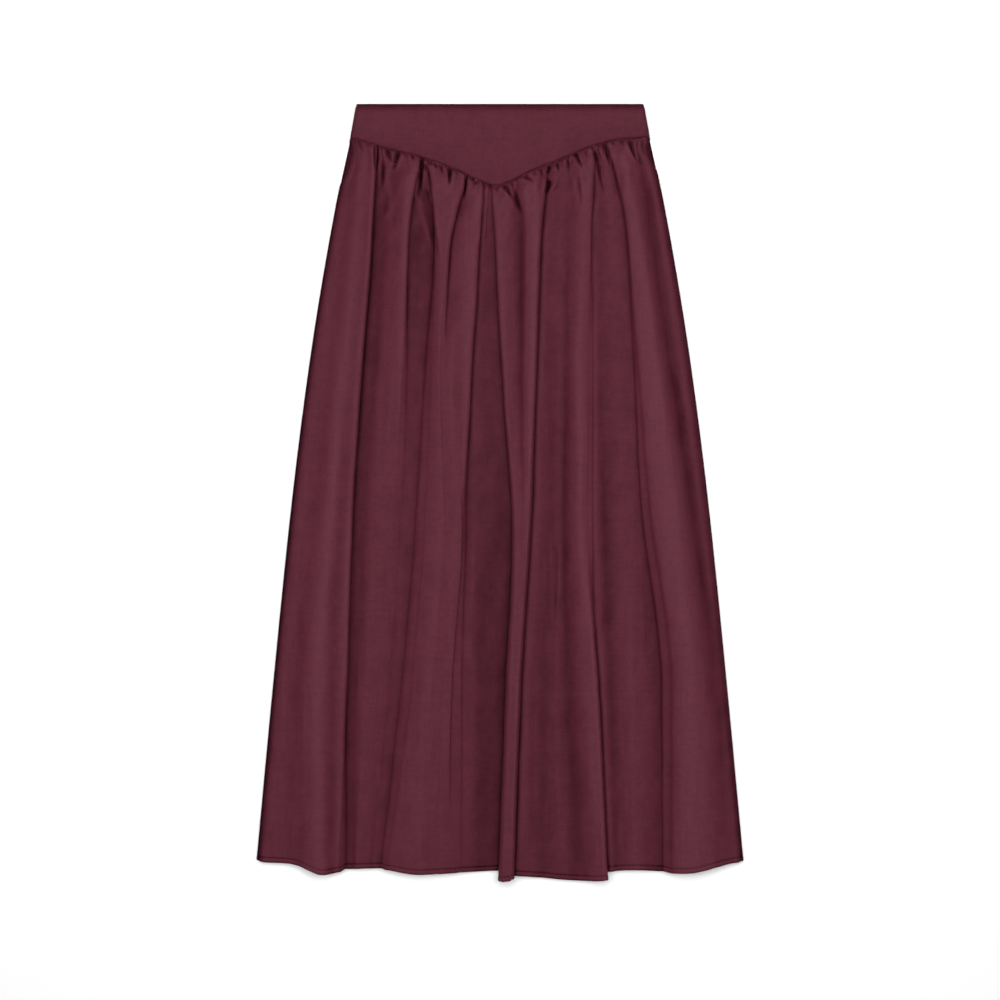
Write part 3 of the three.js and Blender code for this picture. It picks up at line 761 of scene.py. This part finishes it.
def mathNode(tree, operation, first, second=None, third=None):
    node = tree.nodes.new("ShaderNodeMath")
    node.operation = operation
    for i, value in enumerate((first, second, third)):
        if value is None:
            continue
        if isinstance(value, (int, float)):
            node.inputs[i].default_value = value
        else:
            tree.links.new(value, node.inputs[i])
    return node.outputs[0]


# over and under threads of a plain weave, Threads to the metre
def plainWeaveGroup():
    group, given, result = newGroup(
        "plainWeave",
        [("Place", "NodeSocketVector", None), ("Threads", "NodeSocketFloat", 2300.0)],
        [("Height", "NodeSocketFloat")],
    )
    split = group.nodes.new("ShaderNodeSeparateXYZ")
    group.links.new(given.outputs["Place"], split.inputs[0])
    turn = mathNode(group, "MULTIPLY", given.outputs["Threads"], np.pi)
    u = mathNode(group, "SINE", mathNode(group, "MULTIPLY", split.outputs["X"], turn))
    v = mathNode(group, "SINE", mathNode(group, "MULTIPLY", split.outputs["Y"], turn))
    product = mathNode(group, "MULTIPLY", u, v)
    group.links.new(mathNode(group, "MULTIPLY_ADD", product, 0.5, 0.5), result.inputs["Height"])
    return group


# uneven thick and thin yarns, down and across
def slubGroup():
    group, given, result = newGroup(
        "slubYarns",
        [("Place", "NodeSocketVector", None), ("Fine", "NodeSocketFloat", 900.0),
         ("Long", "NodeSocketFloat", 30.0)],
        [("Value", "NodeSocketFloat")],
    )
    split = group.nodes.new("ShaderNodeSeparateXYZ")
    group.links.new(given.outputs["Place"], split.inputs[0])
    layers = []
    for narrow, wide in (("X", "Y"), ("Y", "X")):
        join = group.nodes.new("ShaderNodeCombineXYZ")
        fine = mathNode(group, "MULTIPLY", split.outputs[narrow], given.outputs["Fine"])
        run = mathNode(group, "MULTIPLY", split.outputs[wide], given.outputs["Long"])
        group.links.new(fine, join.inputs[0])
        group.links.new(run, join.inputs[1])
        noise = group.nodes.new("ShaderNodeTexNoise")
        noise.inputs["Scale"].default_value = 1.0
        noise.inputs["Detail"].default_value = 2.0
        group.links.new(join.outputs[0], noise.inputs["Vector"])
        layers.append(noise.outputs[0])
    both = mathNode(group, "ADD", *layers)
    group.links.new(mathNode(group, "MULTIPLY", both, 0.5), result.inputs["Value"])
    return group


# soft patches of lighter and darker dye, and the fine crumple of washed cotton
def mottleGroup():
    group, given, result = newGroup(
        "clothMottle",
        [("Place", "NodeSocketVector", None), ("Patch", "NodeSocketFloat", 22.0),
         ("Crumple", "NodeSocketFloat", 90.0)],
        [("Patches", "NodeSocketFloat"), ("Height", "NodeSocketFloat")],
    )
    for scaleName, outName, detail in (("Patch", "Patches", 5.0), ("Crumple", "Height", 3.0)):
        noise = group.nodes.new("ShaderNodeTexNoise")
        noise.inputs["Detail"].default_value = detail
        noise.inputs["Roughness"].default_value = 0.62
        group.links.new(given.outputs["Place"], noise.inputs["Vector"])
        group.links.new(given.outputs[scaleName], noise.inputs["Scale"])
        group.links.new(noise.outputs[0], result.inputs[outName])
    return group


# the ramp's darkest colours are painted shade for crevices and hollows, the middle one the cloth's own
# colour, the palest a painted highlight for the crests
clothLook = {
    "creviceShade": (0.009, 0.0009, 0.0026, 1),
    "deep": (0.041, 0.0055, 0.0116, 1),
    "mid": (0.0725, 0.0118, 0.0222, 1),
    "crestHighlight": (0.0885, 0.0167, 0.0298, 1),
    "deepAt": 0.22,
    "midAt": 0.5,
    "paleAt": 0.8,
    "paintedLightMask": 0.44,
    "middleTone": 0.36,
    "roughness": 0.56,
    "uneven": 0.16,         # in roughness from yarn to yarn
    "specular": 0.07,
    "shineRise": 0.055,
    "grain": 0.5,
    "streaks": 0.42,
    "patches": 0.34,
    "sheen": 0.02,
    "sheenRoughness": 0.45,
    "sheenTint": (0.75, 0.42, 0.48, 1),
    "weaveDepth": 0.05,     # all depths in millimetres
    "slubDepth": 0.05,
    "crumpleDepth": 0.5,
    "yokeCrumpleDepth": 0.3,
}
weaveGroup, slubYarnGroup, clothMottleGroup = plainWeaveGroup(), slubGroup(), mottleGroup()


def placeGroup(tree, group, place, values):
    node = tree.nodes.new("ShaderNodeGroup")
    node.node_tree = group
    tree.links.new(place, node.inputs["Place"])
    for label, value in values.items():
        node.inputs[label].default_value = value
    return node


def clothMaterial(name, crumpleDepth):
    look = clothLook
    material = bpy.data.materials.new(name)
    material.use_nodes = True
    tree = material.node_tree
    shader = tree.nodes["Principled BSDF"]
    uv = tree.nodes.new("ShaderNodeUVMap")
    uv.uv_map = "cloth"
    place = uv.outputs[0]
    weave = placeGroup(tree, weaveGroup, place, {"Threads": 2300.0})
    slubs = placeGroup(tree, slubYarnGroup, place, {"Fine": 430.0, "Long": 110.0})
    streaks = placeGroup(tree, slubYarnGroup, place, {"Fine": 210.0, "Long": 24.0})
    mottle = placeGroup(tree, clothMottleGroup, place, {"Patch": 34.0, "Crumple": 70.0})
    # the base colour is painted with shade and highlight: the painted light mask takes it from the dark
    # crevice colour in the hollows to the pale colour on the crests, with random dye patches on top
    paintedLightAttribute = tree.nodes.new("ShaderNodeAttribute")
    paintedLightAttribute.attribute_name = "paintedLightMask"
    patches = mathNode(tree, "MULTIPLY", mottle.outputs["Patches"], look["patches"])
    tone = mathNode(tree, "MULTIPLY_ADD", paintedLightAttribute.outputs["Fac"], look["paintedLightMask"], patches)
    tone = mathNode(tree, "ADD", tone, look["middleTone"])
    ramp = tree.nodes.new("ShaderNodeValToRGB")
    ramp.color_ramp.elements[0].position = 0.0
    ramp.color_ramp.elements[0].color = look["creviceShade"]
    ramp.color_ramp.elements[1].position = look["paleAt"]
    ramp.color_ramp.elements[1].color = look["crestHighlight"]
    for position, colour in ((look["deepAt"], look["deep"]), (look["midAt"], look["mid"])):
        ramp.color_ramp.elements.new(position).color = colour
    tree.links.new(tone, ramp.inputs[0])
    evenGrain = 1 - 0.5 * look["grain"]
    grain = mathNode(tree, "MULTIPLY_ADD", slubs.outputs["Value"], look["grain"], evenGrain)
    grain = mathNode(tree, "MULTIPLY_ADD", streaks.outputs["Value"], look["streaks"], grain)
    grain = mathNode(tree, "SUBTRACT", grain, 0.5 * look["streaks"])
    dyed = tree.nodes.new("ShaderNodeVectorMath")
    dyed.operation = "SCALE"
    tree.links.new(ramp.outputs[0], dyed.inputs[0])
    tree.links.new(grain, dyed.inputs["Scale"])
    tree.links.new(dyed.outputs[0], shader.inputs["Base Color"])
    rough = mathNode(tree, "MULTIPLY_ADD", slubs.outputs["Value"], -look["uneven"],
                     look["roughness"] + look["uneven"] / 2)
    tree.links.new(rough, shader.inputs["Roughness"])
    height = mathNode(tree, "MULTIPLY", weave.outputs["Height"], look["weaveDepth"])
    height = mathNode(tree, "MULTIPLY_ADD", slubs.outputs["Value"], look["slubDepth"], height)
    height = mathNode(tree, "MULTIPLY_ADD", mottle.outputs["Height"], crumpleDepth, height)
    bump = tree.nodes.new("ShaderNodeBump")
    bump.inputs["Distance"].default_value = mm
    bump.inputs["Strength"].default_value = 1.0
    tree.links.new(height, bump.inputs["Height"])
    tree.links.new(bump.outputs[0], shader.inputs["Normal"])
    # hardly any shine is left down in the hollows
    shine = mathNode(tree, "MULTIPLY_ADD", paintedLightAttribute.outputs["Fac"], look["shineRise"], look["specular"])
    tree.links.new(mathNode(tree, "MAXIMUM", shine, 0.01), shader.inputs["Specular IOR Level"])
    shader.inputs["Sheen Weight"].default_value = look["sheen"]
    shader.inputs["Sheen Roughness"].default_value = look["sheenRoughness"]
    shader.inputs["Sheen Tint"].default_value = look["sheenTint"]
    return material


wineCotton = clothMaterial("wineCotton", clothLook["crumpleDepth"])
yokeCotton = clothMaterial("yokeCotton", clothLook["yokeCrumpleDepth"])


threadLook = {
    "dark": (0.022, 0.0035, 0.0070, 1),
    "light": (0.046, 0.0075, 0.0145, 1),
    "grain": 900.0,
    "roughness": 0.6,
    "specular": 0.2,
}


def threadMaterial():
    look = threadLook
    material = bpy.data.materials.new("wineThread")
    material.use_nodes = True
    tree = material.node_tree
    shader = tree.nodes["Principled BSDF"]
    spot = tree.nodes.new("ShaderNodeTexCoord")
    noise = tree.nodes.new("ShaderNodeTexNoise")
    noise.inputs["Scale"].default_value = look["grain"]
    tree.links.new(spot.outputs["Object"], noise.inputs["Vector"])
    ramp = tree.nodes.new("ShaderNodeValToRGB")
    ramp.color_ramp.elements[0].color = look["dark"]
    ramp.color_ramp.elements[1].color = look["light"]
    tree.links.new(noise.outputs[0], ramp.inputs[0])
    tree.links.new(ramp.outputs[0], shader.inputs["Base Color"])
    shader.inputs["Roughness"].default_value = look["roughness"]
    shader.inputs["Specular IOR Level"].default_value = look["specular"]
    return material


wineThread = threadMaterial()
for piece, material in (
    (front, wineCotton), (yoke, yokeCotton), (back, wineCotton), (backBand, wineCotton),
    (frontStitches, wineThread), (backStitches, wineThread),
):
    piece.data.materials.append(material)
    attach(piece, "root")
print("skirt: materials")

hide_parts("front_panel")
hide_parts("front_yoke")
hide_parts("back_panel")
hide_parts("back_waistband")


# Studio
studio = {
    "pixelsWide": 1000,
    "millimetresToPixel": 1.235,
    "photoCentreDrop": 489.7,
    "lens": 85.0,
    "sensor": 36.0,
    "clothHigh": 6.0,
    "worldStrength": 0.08,
    "floorColour": (0.9, 0.9, 0.9, 1),
    "floorReach": 6.0,
    "floorUnder": 0.0003,
}
# name, place, aim, size, power
studioLights = [
    ("overheadLight", (0.0, 0.3, 2.0), (0, 0.25, 0), 2.8, 62),
    ("rightLight", (1.9, 0.1, 2.2), (0, 0, 0), 0.7, 13),
    ("leftLight", (-1.9, 0.1, 2.2), (0, 0, 0), 0.7, 13),
]


def studioCamera():
    data = bpy.data.cameras.new("studioCamera")
    data.lens = studio["lens"]
    data.sensor_width = studio["sensor"]
    camera = bpy.data.objects.new("studioCamera", data)
    seen = studio["pixelsWide"] * studio["millimetresToPixel"] * mm
    distance = seen * studio["lens"] / studio["sensor"]
    camera.location = (0, yOfDrop(studio["photoCentreDrop"]) * mm, distance + studio["clothHigh"] * mm)
    bpy.context.scene.collection.objects.link(camera)
    bpy.context.scene.camera = camera


def areaLight(name, place, aim, size, power):
    data = bpy.data.lights.new(name, "AREA")
    data.shape = "DISK"
    data.size = size
    data.energy = power
    light = bpy.data.objects.new(name, data)
    light.location = place
    direction = Vector(aim) - Vector(place)
    light.rotation_euler = direction.to_track_quat("-Z", "Y").to_euler()
    bpy.context.scene.collection.objects.link(light)


def floorPlane():
    mesh = bpy.data.meshes.new("studioFloor")
    reach, low = studio["floorReach"], -studio["floorUnder"]
    corners = [(-reach, -reach, low), (reach, -reach, low), (reach, reach, low), (-reach, reach, low)]
    mesh.from_pydata(corners, [], [(0, 1, 2, 3)])
    floor = bpy.data.objects.new("studioFloor", mesh)
    material = bpy.data.materials.new("studioPaper")
    material.use_nodes = True
    shader = material.node_tree.nodes["Principled BSDF"]
    shader.inputs["Base Color"].default_value = studio["floorColour"]
    shader.inputs["Roughness"].default_value = 0.9
    shader.inputs["Specular IOR Level"].default_value = 0.1
    mesh.materials.append(material)
    bpy.context.scene.collection.objects.link(floor)


studioCamera()
for light in studioLights:
    areaLight(*light)
floorPlane()
world = bpy.data.worlds.new("studioWorld")
world.use_nodes = True
world.node_tree.nodes["Background"].inputs["Strength"].default_value = studio["worldStrength"]
world.node_tree.nodes["Background"].inputs["Color"].default_value = (1, 1, 1, 1)
bpy.context.scene.world = world
bpy.context.scene.view_settings.view_transform = "Standard"
print("skirt: studio ready")
